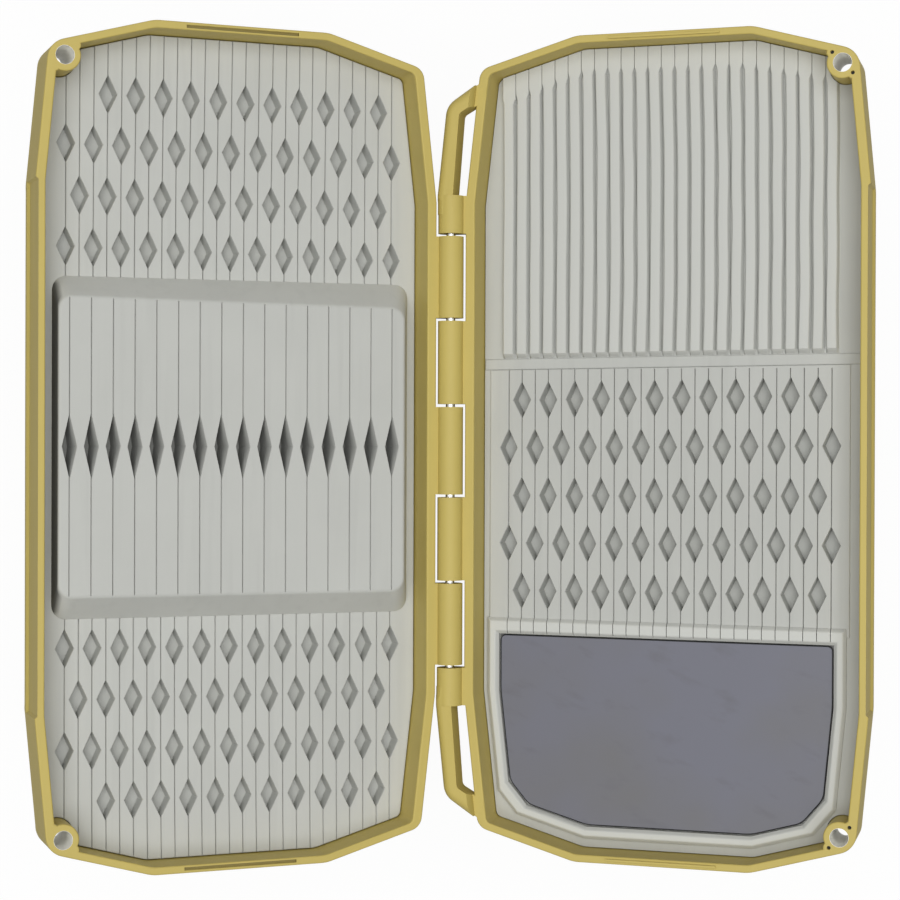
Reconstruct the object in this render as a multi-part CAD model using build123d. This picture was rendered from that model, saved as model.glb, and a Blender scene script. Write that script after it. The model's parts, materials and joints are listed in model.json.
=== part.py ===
from build123d import *
import math
import os

# Every size is in millimetres and every angle in degrees.
#
# Each half is drawn in its own local frame and then set in place: the hinge axis is the local
# Y axis, X runs away from the hinge across the half, and Z = 0 is the plane where the two
# halves meet when the box is closed. The tray lies below that plane.

# ---- Overall ----
shell_length = 180.0          # along the hinge
shell_reach = 91.2            # hinge axis to the outer long side
shell_depth = 15.0            # meeting plane to the back of a half
opening_angle = 144.2         # between the two halves in the stored pose
half_tilt = (180.0 - opening_angle) / 2

# ---- Outline of a half ----
hinge_wall_offset = 3.25      # hinge axis to the hinge-side wall
hinge_flat_length = 108.0     # straight part of the hinge side
hinge_corner_setback = 3.2    # how far the hinge-side corner stands off that straight part
hinge_corner_drop = 6.9       # how far it lies below the end of the half
shoulder_reach = 24.8         # shoulder of the short side, from the hinge-side wall
shoulder_drop = 0.35
peak_inset = 24.95            # longest place of the half, from the outer long side
outer_corner_setback = 2.7
outer_corner_drop = 6.0
outer_flat_length = 111.0     # straight part of the outer long side
bend_radius = 8.0             # shallow bends of the outline
hinge_corner_radius = 3.2
outer_corner_radius = 4.6

# ---- Shell ----
long_rim_width = 2.1
short_rim_width = 1.7
floor_thickness = 1.5
rim_recess = 0.1              # each rim stops this far short of the meeting plane
wall_draft = 0.5
back_edge_radius = 2.0
rim_edge_radius = 0.35
inner_corner_radius = 1.5

# ---- Finger relief in the outer long wall ----
relief_depth = 0.63
relief_height = 10.6
relief_ledge = 0.8

# ---- Corner eyelets ----
eyelet_bore_radius = 1.95
eyelet_post_radius = 3.35
eyelet_outer_inset = 6.05     # eyelet centre from the outer long side
eyelet_end_inset = 8.55       # eyelet centre from the end of the half

# ---- Hinge ----
barrel_radius = 2.8
pin_radius = 1.0
pin_running_clearance = 0.05
knuckle_gap = 0.65
middle_knuckle_length = 19.2
next_knuckle_length = 18.25   # the two beside the middle one
third_knuckle_length = 17.9   # the two beyond those
end_knuckle_length = 8.3
hinge_shift = -0.49           # middle of the hinge, off the middle of the long side
pin_end_cover = 1.0           # material that closes the bore at each end

# ---- Lanyard loops ----
loop_bar_width = 3.9          # beside the end knuckle
loop_elbow_width = 3.2
loop_bar_height = 5.2
loop_bar_edge_radius = 1.9
loop_elbow_radius = 4.5       # outer side of the elbow
loop_elbow_inner_radius = 1.3
loop_elbow_inset = 14.2       # from the end of the half to the elbow
loop_elbow_shift = 2.05       # how far the elbow stands towards the shell
loop_return_length = 5.0      # from the elbow to the wall, along the hinge
loop_root_depth = 1.4         # how far the loop's root reaches into the wall
loop_turn = 32.0              # half the angle through which the bar bends at the elbow
loop_root_width = 3.9         # width of the bar where it meets the wall
loop_swing_clearance = 0.35

# ---- Seal tongue and groove on the short sides ----
tongue_width = 0.4
tongue_height = 0.45
tongue_length = 24.0
groove_clearance = 0.15
groove_end_clearance = 0.3
groove_extra_depth = 0.25
tongue_inset = 0.95           # its centre line from the edge of the outline

# ---- Closure magnets ----
magnet_radius = 0.75
magnet_length = 6.0
magnet_cover = 1.1            # plastic between the rim and a magnet
magnet_spacing = 6.2          # between the two magnets beside an eyelet
magnet_turn = -46.0           # direction of that pair in the upper corner
magnet_wall = 0.5             # plastic round a magnet, in the corner post
locator_hole_radius = 0.42

# ---- Foam ----
foam_gap = 0.15
adhesive_thickness = 0.15
lid_foam_depth = 8.0          # meeting plane to the foam surface of the lid
base_foam_depth = 8.6         # the same to the plain margin of the base foam

# ---- Raised foam block in the lid ----
block_top_depth = 2.0
block_hinge_inset = 4.2       # foot of the block from the hinge-side wall
block_outer_inset = 4.8
block_half_length = 36.2
block_hinge_slope = 2.5
block_outer_slope = 0.4
block_end_slope = 5.0
block_corner_radius = 3.0

# ---- Ridged panel in the base ----
ridge_height = 1.3
ridge_pitch = 2.965
ridge_count = 25
ridge_land = 2.1              # width of one ridge
ridge_centre = 46.8           # middle of the ridge field from the hinge axis
ridge_end_inset = 4.3         # foam edge to the start of the ridges
ridge_foot_gap = 0.9

# ---- Divider strip in the base ----
divider_centre = 19.1
divider_width = 2.45
divider_height = 0.25

# ---- Slit panel in the base ----
panel_height = 0.5
panel_hinge_inset = 1.4       # from the edge of the foam
panel_outer_inset = 2.5

# ---- Magnet sheet and its frame ----
frame_height = 1.4
frame_width = 2.6
frame_top_width = 3.5         # along the upper side of the recess
recess_top = -41.4            # place of the upper side of the recess along the hinge
recess_top_turn = -0.5
recess_depth = 0.8
recess_hinge_inset = 3.55
recess_short_inset = 4.5
recess_outer_inset = 5.75
recess_corner_cut = 4.0
recess_outer_cut = 4.4
sheet_gap = 0.2
sheet_thickness = 0.7

# ---- Worked out from the above ----
half_length = shell_length / 2
rim_level = -rim_recess
back_level = -shell_depth
floor_level = back_level + floor_thickness
foam_level = floor_level + adhesive_thickness
first_knuckle_lengths = [end_knuckle_length, third_knuckle_length, next_knuckle_length]
knuckle_lengths = first_knuckle_lengths + [middle_knuckle_length] + first_knuckle_lengths[::-1]
hinge_length = sum(knuckle_lengths) + (len(knuckle_lengths) - 1) * knuckle_gap
end_knuckle_end = hinge_length / 2
draft_slope = math.tan(math.radians(wall_draft))
eyelet_x = shell_reach - eyelet_outer_inset
eyelet_y = half_length - eyelet_end_inset
magnet_middle = rim_level - magnet_cover - magnet_length / 2


# Cutters run past the faces that they cut by this much.
overcut = 1.0
# How near an edge has to lie to a place to be taken as the edge there.
edge_match = 0.01


# ---- Helpers ----
def outline_points():
    """Corners of a half, counter-clockwise from the lower end of the straight hinge side."""
    upper = [
        (shell_reach, outer_flat_length / 2),
        (shell_reach - outer_corner_setback, half_length - outer_corner_drop),
        (shell_reach - peak_inset, half_length),
        (hinge_wall_offset + shoulder_reach, half_length - shoulder_drop),
        (hinge_wall_offset + hinge_corner_setback, half_length - hinge_corner_drop),
        (hinge_wall_offset, hinge_flat_length / 2),
    ]
    lower = [(x, -y) for x, y in reversed(upper)]
    return lower + upper


def side_distances(hinge_side, short_side, outer_side):
    """One distance for each side of the outline, in the order of its corners."""
    lower = [hinge_side, short_side, short_side, short_side, outer_side]
    upper = [outer_side, short_side, short_side, short_side, hinge_side]
    return lower + [outer_side] + upper + [hinge_side]


def inset(points, distances):
    """The corners moved in so that each side lies its own distance inside the old one."""
    lines = []
    for index, (start, distance) in enumerate(zip(points, distances)):
        end = points[(index + 1) % len(points)]
        run = math.hypot(end[0] - start[0], end[1] - start[1])
        along = ((end[0] - start[0]) / run, (end[1] - start[1]) / run)
        lines.append((start[0] - along[1] * distance, start[1] + along[0] * distance, *along))
    corners = []
    for index, second in enumerate(lines):
        first = lines[index - 1]
        turn = first[2] * second[3] - first[3] * second[2]
        gap = (second[0] - first[0], second[1] - first[1])
        step = (gap[0] * second[3] - gap[1] * second[2]) / turn
        corners.append((first[0] + first[2] * step, first[1] + first[3] * step))
    return corners


def corner_radii(shrink):
    """Radius of each corner of the outline, made smaller by an inset."""
    upper = [bend_radius, outer_corner_radius, bend_radius, bend_radius, hinge_corner_radius, bend_radius]
    lower = list(reversed(upper))
    return [max(radius - shrink, inner_corner_radius) for radius in lower + upper]


def outline_face(points, shrink, level):
    """A rounded closed outline as a face at one level."""
    path = FilletPolyline(*points, radius=corner_radii(shrink), close=True)
    return Pos(0, 0, level) * make_face(path)


def prism(points, bottom, top):
    """A sharp-cornered prism between two levels."""
    face = make_face(Polyline(*points, close=True))
    return extrude(Pos(0, 0, bottom) * face, amount=top - bottom, dir=(0, 0, 1))


def slab(x_range, y_range, z_range):
    """An axis-aligned block between pairs of limits."""
    size = [high - low for low, high in (x_range, y_range, z_range)]
    middle = [(high + low) / 2 for low, high in (x_range, y_range, z_range)]
    return Pos(*middle) * Box(*size)


def upright(radius, bottom, top):
    """A vertical cylinder on the local origin."""
    return Pos(0, 0, (bottom + top) / 2) * Cylinder(radius, top - bottom)


def along_hinge(radius, start, end):
    """A cylinder on the hinge axis between two places along it."""
    return Pos(0, (start + end) / 2, 0) * Rot(90, 0, 0) * Cylinder(radius, end - start)


def eyelet_places():
    """Centres of the two corner eyelets."""
    return [Pos(eyelet_x, side * eyelet_y, 0) for side in (1, -1)]


def magnet_places():
    """Axes of the four closure magnets, two beside each eyelet."""
    places = []
    for side in (1, -1):
        turn = math.radians(side * magnet_turn)
        for end in (1, -1):
            x = eyelet_x + end * magnet_spacing / 2 * math.cos(turn)
            y = side * eyelet_y + end * magnet_spacing / 2 * math.sin(turn)
            places.append(Pos(x, y, 0))
    return places


def corner_posts(margin, bottom, top):
    """Posts round the eyelets, with a boss round each magnet, made wider by a margin."""
    posts = [place * upright(eyelet_post_radius + margin, bottom, top) for place in eyelet_places()]
    boss_radius = magnet_radius + magnet_wall + margin
    return posts + [place * upright(boss_radius, bottom, top) for place in magnet_places()]


# ---- Shell ----
def round_rim(shape):
    """The shape with every edge at the level of the rim rounded."""
    edges = shape.edges().filter_by(lambda edge: abs(edge.center().Z - rim_level) < edge_match)
    return fillet(edges, rim_edge_radius)


def rounded_posts():
    """Corner posts with rounded tops, each cut off inside the wall that it joins."""
    bottom = back_level + floor_thickness / 2
    posts = Part() + [round_rim(post) for post in corner_posts(0, bottom, rim_level)]
    half_widths = side_distances(long_rim_width / 2, short_rim_width / 2, long_rim_width / 2)
    return posts & prism(inset(outline_points(), half_widths), bottom, rim_level)


def tray():
    """Tray with its rim, corner posts and eyelet bores."""
    outer_points = outline_points()
    rim_widths = side_distances(long_rim_width, short_rim_width, long_rim_width)
    inner_points = inset(outer_points, rim_widths)
    outer_face = outline_face(outer_points, 0, rim_level)
    body = extrude(outer_face, amount=rim_level - back_level, dir=(0, 0, -1), taper=wall_draft)
    back_edges = body.edges().group_by(Axis.Z)[0]
    body = fillet(back_edges, back_edge_radius)
    inner_face = outline_face(inner_points, long_rim_width, rim_level)
    cavity = extrude(inner_face, amount=rim_level - floor_level, dir=(0, 0, -1), taper=wall_draft)
    shell = round_rim(body - cavity) + rounded_posts()
    bore = upright(eyelet_bore_radius, back_level - overcut, 0)
    bores = [place * bore for place in eyelet_places()]
    return shell - bores


def finger_relief():
    """Shallow wedge-ended recess cut from the outer long wall."""
    wall_face = shell_reach - relief_depth
    clear = shell_reach + relief_ledge
    reach = clear - wall_face
    profile = [
        (wall_face, rim_level - relief_height),
        (clear, rim_level - relief_height - reach * relief_ledge / relief_depth),
        (clear, overcut),
        (wall_face, overcut),
    ]
    half = outer_flat_length / 2
    section = Plane.XZ * make_face(Polyline(*profile, close=True))
    cutter = Pos(0, half + reach, 0) * extrude(section, amount=2 * (half + reach))
    ends = [
        (wall_face, half),
        (clear, half + reach),
        (clear, -half - reach),
        (wall_face, -half),
    ]
    return cutter & prism(ends, back_level - overcut, overcut)


def knuckles(first):
    """Every second hinge knuckle, numbered from 0 at the upper end, with the web to the wall."""
    solids = []
    for number in range(first, len(knuckle_lengths), 2):
        above = sum(knuckle_lengths[:number]) + number * knuckle_gap
        high = hinge_shift + hinge_length / 2 - above
        low = high - knuckle_lengths[number]
        web_end = hinge_wall_offset + long_rim_width / 2
        web = slab((0, web_end), (low, high), (-barrel_radius, rim_level))
        solids.append(along_hinge(barrel_radius, low, high) + web)
    return solids


def lanyard_loop(shift):
    """Bar that runs on from the upper end knuckle and turns back into the wall."""
    start = end_knuckle_end - end_knuckle_length / 2
    elbow = half_length - loop_elbow_inset
    wall_x = hinge_wall_offset + hinge_corner_setback
    outer_elbow = -barrel_radius + loop_elbow_shift
    elbow_drop = loop_elbow_width * math.tan(math.radians(loop_turn))
    root_x = wall_x + loop_root_depth
    root_y = elbow + loop_return_length
    inner_elbow = (outer_elbow + loop_elbow_width, elbow - elbow_drop)
    inner_side = [
        (loop_bar_width - barrel_radius, start),
        (loop_bar_width - barrel_radius, end_knuckle_end),
        inner_elbow,
        (root_x, root_y - loop_root_width),
    ]
    outer_side = [
        (root_x, root_y + loop_root_depth / 2),
        (outer_elbow, elbow),
        (-barrel_radius, end_knuckle_end),
        (-barrel_radius, start),
    ]
    face = make_face(Polyline(*inner_side, *outer_side, close=True))
    face = fillet(face.vertices().sort_by_distance((outer_elbow, elbow))[0], loop_elbow_radius)
    face = fillet(face.vertices().sort_by_distance(inner_elbow)[0], loop_elbow_inner_radius)
    half_height = loop_bar_height / 2
    bar = Pos(0, 0, -half_height) * extrude(face, loop_bar_height)
    level_edges = bar.edges().filter_by(lambda edge: abs(abs(edge.center().Z) - half_height) < edge_match)
    path = Polyline(*outer_side)
    outer = level_edges.filter_by(lambda edge: along_path(edge, path))
    bar = Pos(0, shift, 0) * fillet(outer, loop_bar_edge_radius)
    return bar & swing_envelope(start - loop_elbow_width, root_y + loop_bar_width)


def along_path(edge, path):
    """True for the edges of the loop bar that face away from the shell."""
    middle = edge.center()
    return path.distance_to(Vector(middle.X, middle.Y, 0)) < loop_elbow_width / 4


def swing_envelope(start, end):
    """Room that the hinge-side wall of the lid leaves round the axis as it swings."""
    corner_y = half_length - hinge_corner_drop
    bend_y = hinge_flat_length / 2
    slope = hinge_corner_setback / (corner_y - bend_y)
    near = hinge_wall_offset - loop_swing_clearance
    far = near + slope * (end - bend_y)
    profile = [(0, start), (near, start), (near, bend_y), (far, end), (0, end)]
    upper = revolve(make_face(Polyline(*profile, close=True)), Axis.Y)
    reach = hinge_wall_offset + hinge_corner_setback + 2 * loop_root_depth
    lower = slab((-barrel_radius, reach), (start, end), (-barrel_radius, rim_level))
    return upper + lower


def seal_strip(width, bottom, top, length):
    """Straight strip along the rim of each short side, between shoulder and peak."""
    points = outline_points()
    solids = []
    for first, second in ((8, 9), (2, 3)):
        right, left = points[first], points[second]
        middle = ((right[0] + left[0]) / 2, (right[1] + left[1]) / 2)
        angle = math.degrees(math.atan2(left[1] - right[1], left[0] - right[0]))
        bar = slab((-length / 2, length / 2), (-width / 2, width / 2), (bottom, top))
        solids.append(Pos(*middle, 0) * Rot(0, 0, angle) * Pos(0, tongue_inset, 0) * bar)
    return solids


def pin_bore(radius):
    """Bore for the hinge pin, closed at both ends."""
    half_bore = hinge_length / 2 - pin_end_cover
    return along_hinge(radius, hinge_shift - half_bore, hinge_shift + half_bore)


def magnet_rod():
    """One closure magnet, or the pocket that it fills, on the local origin."""
    top = rim_level - magnet_cover
    return upright(magnet_radius, top - magnet_length, top)


def magnet_cutters(bottom, top):
    """Magnet pockets, each with the small hole of the pin that held the magnet in the mould."""
    cutter = magnet_rod() + upright(locator_hole_radius, bottom, top)
    return [place * cutter for place in magnet_places()]


def make_base_shell():
    """Right half: four knuckles, both lanyard loops and the seal tongue."""
    lower_loop = mirror(lanyard_loop(-hinge_shift), about=Plane.XZ)
    shell = tray() - finger_relief()
    shell = shell + knuckles(0)
    shell = shell + [lanyard_loop(hinge_shift), lower_loop]
    tongue_root = rim_level - short_rim_width / 2
    shell = shell + seal_strip(tongue_width, tongue_root, tongue_height, tongue_length)
    shell = shell - pin_bore(pin_radius)
    return shell - magnet_cutters(magnet_middle, 0)


def make_lid_shell():
    """Left half: three knuckles and the seal groove."""
    groove_width = tongue_width + 2 * groove_clearance
    groove_bottom = -tongue_height - groove_extra_depth
    groove_length = tongue_length + 2 * groove_end_clearance
    shell = tray() - finger_relief()
    shell = shell + knuckles(1)
    shell = shell - seal_strip(groove_width, groove_bottom, 0, groove_length)
    shell = shell - pin_bore(pin_radius + pin_running_clearance)
    return shell - magnet_cutters(back_level - overcut, magnet_middle)


def make_closure_magnets():
    """The four rod magnets of one half."""
    return Part() + [place * magnet_rod() for place in magnet_places()]


# ---- Foam ----
def foam_points():
    """Edge of the foam: inside the drafted wall with a small gap."""
    slack = foam_gap + draft_slope * (rim_level - floor_level)
    long_side = long_rim_width + slack
    short_side = short_rim_width + slack
    return inset(outline_points(), side_distances(long_side, short_side, long_side))


def foam_outline(bottom, top):
    """Foam-shaped plate between two levels, cut out round the eyelet posts."""
    face = outline_face(foam_points(), long_rim_width, bottom)
    plate = extrude(face, amount=top - bottom, dir=(0, 0, 1))
    return plate - corner_posts(foam_gap, back_level, 0)


def band(low, high, bottom, top):
    """The part of the foam outline between two places along the hinge."""
    return foam_outline(bottom, top) & slab((0, shell_reach), (low, high), (bottom, top))


def loft_block(lower, lower_level, upper, upper_level, radius):
    """Round-cornered block between a lower and an upper rectangle."""
    faces = []
    for (x_low, x_high, y_half), level in ((lower, lower_level), (upper, upper_level)):
        face = Rectangle(x_high - x_low, 2 * y_half)
        face = fillet(face.vertices(), radius)
        faces.append(Pos((x_low + x_high) / 2, 0, level) * face)
    return loft(faces, ruled=True)


def block_foot():
    """Limits of the foot of the raised block: two across and the half length along."""
    near = hinge_wall_offset + block_hinge_inset
    far = shell_reach - block_outer_inset
    return near, far, block_half_length


def make_raised_block():
    near, far, half = block_foot()
    top = (near + block_hinge_slope, far - block_outer_slope, half - block_end_slope)
    foot_level = -lid_foam_depth + adhesive_thickness
    return loft_block((near, far, half), foot_level, top, -block_top_depth, block_corner_radius)


def make_block_adhesive():
    near, far, half = block_foot()
    rectangle = fillet(Rectangle(far - near, 2 * half).vertices(), block_corner_radius)
    face = Pos((near + far) / 2, 0, -lid_foam_depth) * rectangle
    return extrude(face, amount=adhesive_thickness, dir=(0, 0, 1))


def divider_limits():
    """Lower and upper edge of the divider strip along the hinge."""
    return divider_centre - divider_width / 2, divider_centre + divider_width / 2


def make_ridged_panel():
    """Upper base foam; the ridge field is one raised pad here."""
    low = divider_limits()[1]
    plate = band(low, half_length, foam_level, -base_foam_depth)
    half_field = (ridge_count - 1) * ridge_pitch / 2 + ridge_land / 2
    field_points = inset(foam_points(), [ridge_end_inset] * len(foam_points()))
    field = prism(field_points, -base_foam_depth, -base_foam_depth + ridge_height)
    field_x = (ridge_centre - half_field, ridge_centre + half_field)
    field = field & slab(field_x, (low + ridge_foot_gap, half_length), (-base_foam_depth, 0))
    return plate + (field - corner_posts(ridge_end_inset / 2, back_level, 0))


def make_divider_strip():
    low, high = divider_limits()
    return band(low, high, foam_level, -base_foam_depth + divider_height)


def recess_face(grow, top_grow):
    """Outline of the magnet recess, made larger by a margin all round and another at the top."""
    insets = side_distances(recess_hinge_inset, recess_short_inset, recess_outer_inset)
    points = inset(foam_points(), [distance - grow for distance in insets])
    whole = make_face(Polyline(*points, close=True))
    window = Pos(0, -half_length) * Rectangle(2 * shell_reach, 2 * half_length)
    face = whole & (Pos(shell_reach / 2, recess_top + top_grow) * Rot(0, 0, recess_top_turn) * window)
    hinge_corner = face.vertices().sort_by_distance((0, -half_length + hinge_corner_drop))[0]
    face = chamfer(hinge_corner, recess_corner_cut)
    outer_corner = face.vertices().sort_by_distance((shell_reach, -half_length))[0]
    return chamfer(outer_corner, recess_outer_cut)


def recess_plate(grow, top_grow, bottom, top):
    """Prism on the recess outline between two levels."""
    face = Pos(0, 0, bottom) * recess_face(grow, top_grow)
    return extrude(face, amount=top - bottom, dir=(0, 0, 1))


def make_slit_panel():
    """Lower base foam with the raised pocket field and the frame round the magnet sheet."""
    high = divider_limits()[0]
    plate = band(-half_length, high, foam_level, -base_foam_depth)
    edge = foam_points()
    panel_x = (edge[0][0] + panel_hinge_inset, edge[6][0] - panel_outer_inset)
    panel_low = recess_top + frame_width / 2
    panel = slab(panel_x, (panel_low, high), (-base_foam_depth, -base_foam_depth + panel_height))
    frame_top = -base_foam_depth + frame_height
    frame = recess_plate(frame_width, frame_top_width, -base_foam_depth, frame_top)
    recess = recess_plate(0, 0, -base_foam_depth - recess_depth, 0)
    return plate + panel + (frame - corner_posts(foam_gap, back_level, 0)) - recess


def make_magnet_sheet():
    bottom = -base_foam_depth - recess_depth + adhesive_thickness
    return recess_plate(-sheet_gap, -sheet_gap, bottom, bottom + sheet_thickness)


def make_sheet_adhesive():
    bottom = -base_foam_depth - recess_depth
    return recess_plate(-sheet_gap, -sheet_gap, bottom, bottom + adhesive_thickness)


# ---- Placing ----
def hinge_height():
    """Height of the hinge axis when both backs rest on the ground along their hinge-side edges."""
    tilt = math.radians(half_tilt)
    edge_z = back_level + back_edge_radius
    wall_x = hinge_wall_offset + draft_slope * (rim_level - edge_z)
    edge_x = wall_x + back_edge_radius / math.cos(math.radians(wall_draft))
    lowest = edge_x * math.sin(tilt) + edge_z * math.cos(tilt) - back_edge_radius
    return -lowest


def in_base(shape):
    return Pos(0, 0, hinge_height()) * Rot(0, -half_tilt, 0) * shape


def in_lid(shape):
    return Pos(0, 0, hinge_height()) * Rot(0, half_tilt, 0) * mirror(shape, about=Plane.YZ)


def build():
    """Every piece in its place, by name."""
    divider_low, divider_high = divider_limits()
    pieces = {
        "base_shell": in_base(make_base_shell()),
        "hinge_pin": in_base(pin_bore(pin_radius)),
        "base_closure_magnets": in_base(make_closure_magnets()),
        "ridged_foam_panel": in_base(make_ridged_panel()),
        "ridged_panel_adhesive": in_base(band(divider_high, half_length, floor_level, foam_level)),
        "foam_divider_strip": in_base(make_divider_strip()),
        "divider_adhesive": in_base(band(divider_low, divider_high, floor_level, foam_level)),
        "slit_foam_panel": in_base(make_slit_panel()),
        "slit_panel_adhesive": in_base(band(-half_length, divider_low, floor_level, foam_level)),
        "magnet_sheet": in_base(make_magnet_sheet()),
        "magnet_sheet_adhesive": in_base(make_sheet_adhesive()),
        "lid_shell": in_lid(make_lid_shell()),
        "lid_closure_magnets": in_lid(make_closure_magnets()),
        "lid_foam_sheet": in_lid(foam_outline(foam_level, -lid_foam_depth)),
        "lid_foam_adhesive": in_lid(foam_outline(floor_level, foam_level)),
        "raised_foam_block": in_lid(make_raised_block()),
        "block_adhesive": in_lid(make_block_adhesive()),
    }
    return pieces


os.makedirs("parts", exist_ok=True)
for name, shape in build().items():
    export_step(shape, f"parts/{name}.step")
    print(name, round(shape.volume, 1))
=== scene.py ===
import bpy
import bmesh
import json
import math
import random
from mathutils import Matrix, Vector


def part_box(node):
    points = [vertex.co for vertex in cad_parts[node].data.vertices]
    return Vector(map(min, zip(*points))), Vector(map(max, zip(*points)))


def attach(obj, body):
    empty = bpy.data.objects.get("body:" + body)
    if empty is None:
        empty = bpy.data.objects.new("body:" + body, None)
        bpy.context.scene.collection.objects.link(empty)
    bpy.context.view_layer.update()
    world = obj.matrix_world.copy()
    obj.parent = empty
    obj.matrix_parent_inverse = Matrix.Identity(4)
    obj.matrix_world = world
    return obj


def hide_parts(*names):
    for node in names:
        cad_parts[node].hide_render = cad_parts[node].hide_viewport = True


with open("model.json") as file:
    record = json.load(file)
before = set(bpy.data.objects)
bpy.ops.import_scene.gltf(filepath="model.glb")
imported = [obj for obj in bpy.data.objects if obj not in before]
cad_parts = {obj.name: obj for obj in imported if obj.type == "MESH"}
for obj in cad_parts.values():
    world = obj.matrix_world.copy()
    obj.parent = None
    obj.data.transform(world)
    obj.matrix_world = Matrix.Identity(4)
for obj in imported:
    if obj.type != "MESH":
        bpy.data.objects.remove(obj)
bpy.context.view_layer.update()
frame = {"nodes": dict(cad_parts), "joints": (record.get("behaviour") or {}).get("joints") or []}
nodes = frame["nodes"]
print("frame loaded")

# Each half is drawn in its own millimetres: u runs away from the hinge, v along it, and w is the
# height over the plane where the halves meet.
millimetre = 0.001
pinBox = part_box("hinge_pin")
hingePoint = (pinBox[0] + pinBox[1]) / 2
hingePoint.y = 0                            # the pin sits a little off the middle
halfTilt = math.radians((180 - frame["joints"][0]["range_deg"][1]) / 2)


def halfPlace(half):
    side = 1 if half == "base" else -1      # the lid is the mirror image
    turn = Matrix.Rotation(-side * halfTilt, 4, "Y")
    flip = Matrix.Scale(side, 4, (1, 0, 0))
    return Matrix.Translation(hingePoint) @ turn @ flip @ Matrix.Scale(millimetre, 4)


# camera
cameraSetup = {
    "height": 498.12,          # mm over the hinge axis, along the camera's own axis
    "across": 0.704,
    "along": 2.727,
    "turnOfBox": 2.275,        # degrees that the box stands turned about its hinge
    "pitch": 0.35211, "roll": -0.19836, "yaw": -0.08726,
    "lens": 90.51, "sensorWidth": 36, "clipStart": 0.01, "clipEnd": 20,
}


def placeCamera(setup):
    data = bpy.data.cameras.new("camera")
    data.lens = setup["lens"]
    data.sensor_width = setup["sensorWidth"]
    camera = bpy.data.objects.new("camera", data)
    bpy.context.scene.collection.objects.link(camera)
    turn = math.radians(setup["turnOfBox"])
    across = Vector((math.cos(turn), 0, math.sin(turn)))
    towards = Vector((-math.sin(turn), 0, math.cos(turn)))
    along = Vector((0, 1, 0))
    spin = (Matrix.Rotation(math.radians(-setup["roll"]), 3, "Y")
            @ Matrix.Rotation(math.radians(setup["yaw"]), 3, "Z")
            @ Matrix.Rotation(math.radians(setup["pitch"]), 3, "X"))
    right, forward, up = [row[0] * across - row[1] * towards + row[2] * along for row in spin]
    spot = hingePoint + (setup["across"] * across + setup["height"] * towards
                         + setup["along"] * along) * millimetre
    world = Matrix((right, up, -forward)).transposed().to_4x4()
    world.translation = spot
    camera.matrix_world = world
    data.clip_start = setup["clipStart"]
    data.clip_end = setup["clipEnd"]
    bpy.context.scene.camera = camera


placeCamera(cameraSetup)
print("camera placed")


# node helpers
def addNode(tree, kind, inputs=None, **settings):
    made = tree.nodes.new(kind)
    for name, value in settings.items():
        setattr(made, name, value)
    for name, value in (inputs or {}).items():
        made.inputs[name].default_value = value
    return made


def newGroup(name, inputs, outputs):
    group = bpy.data.node_groups.new(name, "ShaderNodeTree")
    for label, kind, value in inputs:
        made = group.interface.new_socket(label, in_out="INPUT", socket_type=kind)
        made.default_value = value
    for label, kind in outputs:
        group.interface.new_socket(label, in_out="OUTPUT", socket_type=kind)
    return group, group.nodes.new("NodeGroupInput"), group.nodes.new("NodeGroupOutput")


def newMaterial(name, colour, roughness, specular, metallic=0.0):
    material = bpy.data.materials.new(name)
    material.use_nodes = True
    material.diffuse_color = (*colour, 1)
    shader = material.node_tree.nodes["Principled BSDF"]
    shader.inputs["Base Color"].default_value = (*colour, 1)
    shader.inputs["Roughness"].default_value = roughness
    shader.inputs["Specular IOR Level"].default_value = specular
    shader.inputs["Metallic"].default_value = metallic
    return material, material.node_tree, shader


def mixColours(tree, factor, first, second):
    mix = addNode(tree, "ShaderNodeMix", data_type="RGBA")
    sockets = (mix.inputs[0], mix.inputs[6], mix.inputs[7])
    for socket, value in zip(sockets, (factor, first, second)):
        if hasattr(value, "links"):
            tree.links.new(value, socket)
        elif isinstance(value, (int, float)):
            socket.default_value = value
        else:
            socket.default_value = (*value, 1)
    return mix.outputs[2]


def groupNode(tree, group, values, place=None):
    made = addNode(tree, "ShaderNodeGroup", node_tree=group)
    for name, value in values.items():
        made.inputs[name].default_value = value
    coords = addNode(tree, "ShaderNodeTexCoord").outputs["Object"]
    if place is not None:
        mapping = addNode(tree, "ShaderNodeMapping")
        mapping.inputs["Rotation"].default_value = place
        tree.links.new(coords, mapping.inputs["Vector"])
        coords = mapping.outputs["Vector"]
    tree.links.new(coords, made.inputs["Vector"])
    return made


def ownFrame(group, entry):
    # folds the lid onto the base, then gives the spot in that half's own frame
    folded = addNode(group, "ShaderNodeVectorMath", operation="ABSOLUTE")
    local = addNode(group, "ShaderNodeMapping", vector_type="TEXTURE")
    local.inputs["Location"].default_value = hingePoint
    local.inputs["Rotation"].default_value = (0, -halfTilt, 0)
    group.links.new(entry.outputs["Vector"], folded.inputs[0])
    group.links.new(folded.outputs[0], local.inputs["Vector"])
    return local.outputs["Vector"]


def multiplied(group, masks):
    product = masks[0]
    for mask in masks[1:]:
        times = addNode(group, "ShaderNodeMath", operation="MULTIPLY")
        group.links.new(product, times.inputs[0])
        group.links.new(mask, times.inputs[1])
        product = times.outputs[0]
    return product


def addBump(tree, shader, height, look):
    bump = addNode(tree, "ShaderNodeBump",
                   {"Strength": look["bump"], "Distance": look["bumpHeight"]})
    tree.links.new(height, bump.inputs["Height"])
    tree.links.new(bump.outputs["Normal"], shader.inputs["Normal"])


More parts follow.
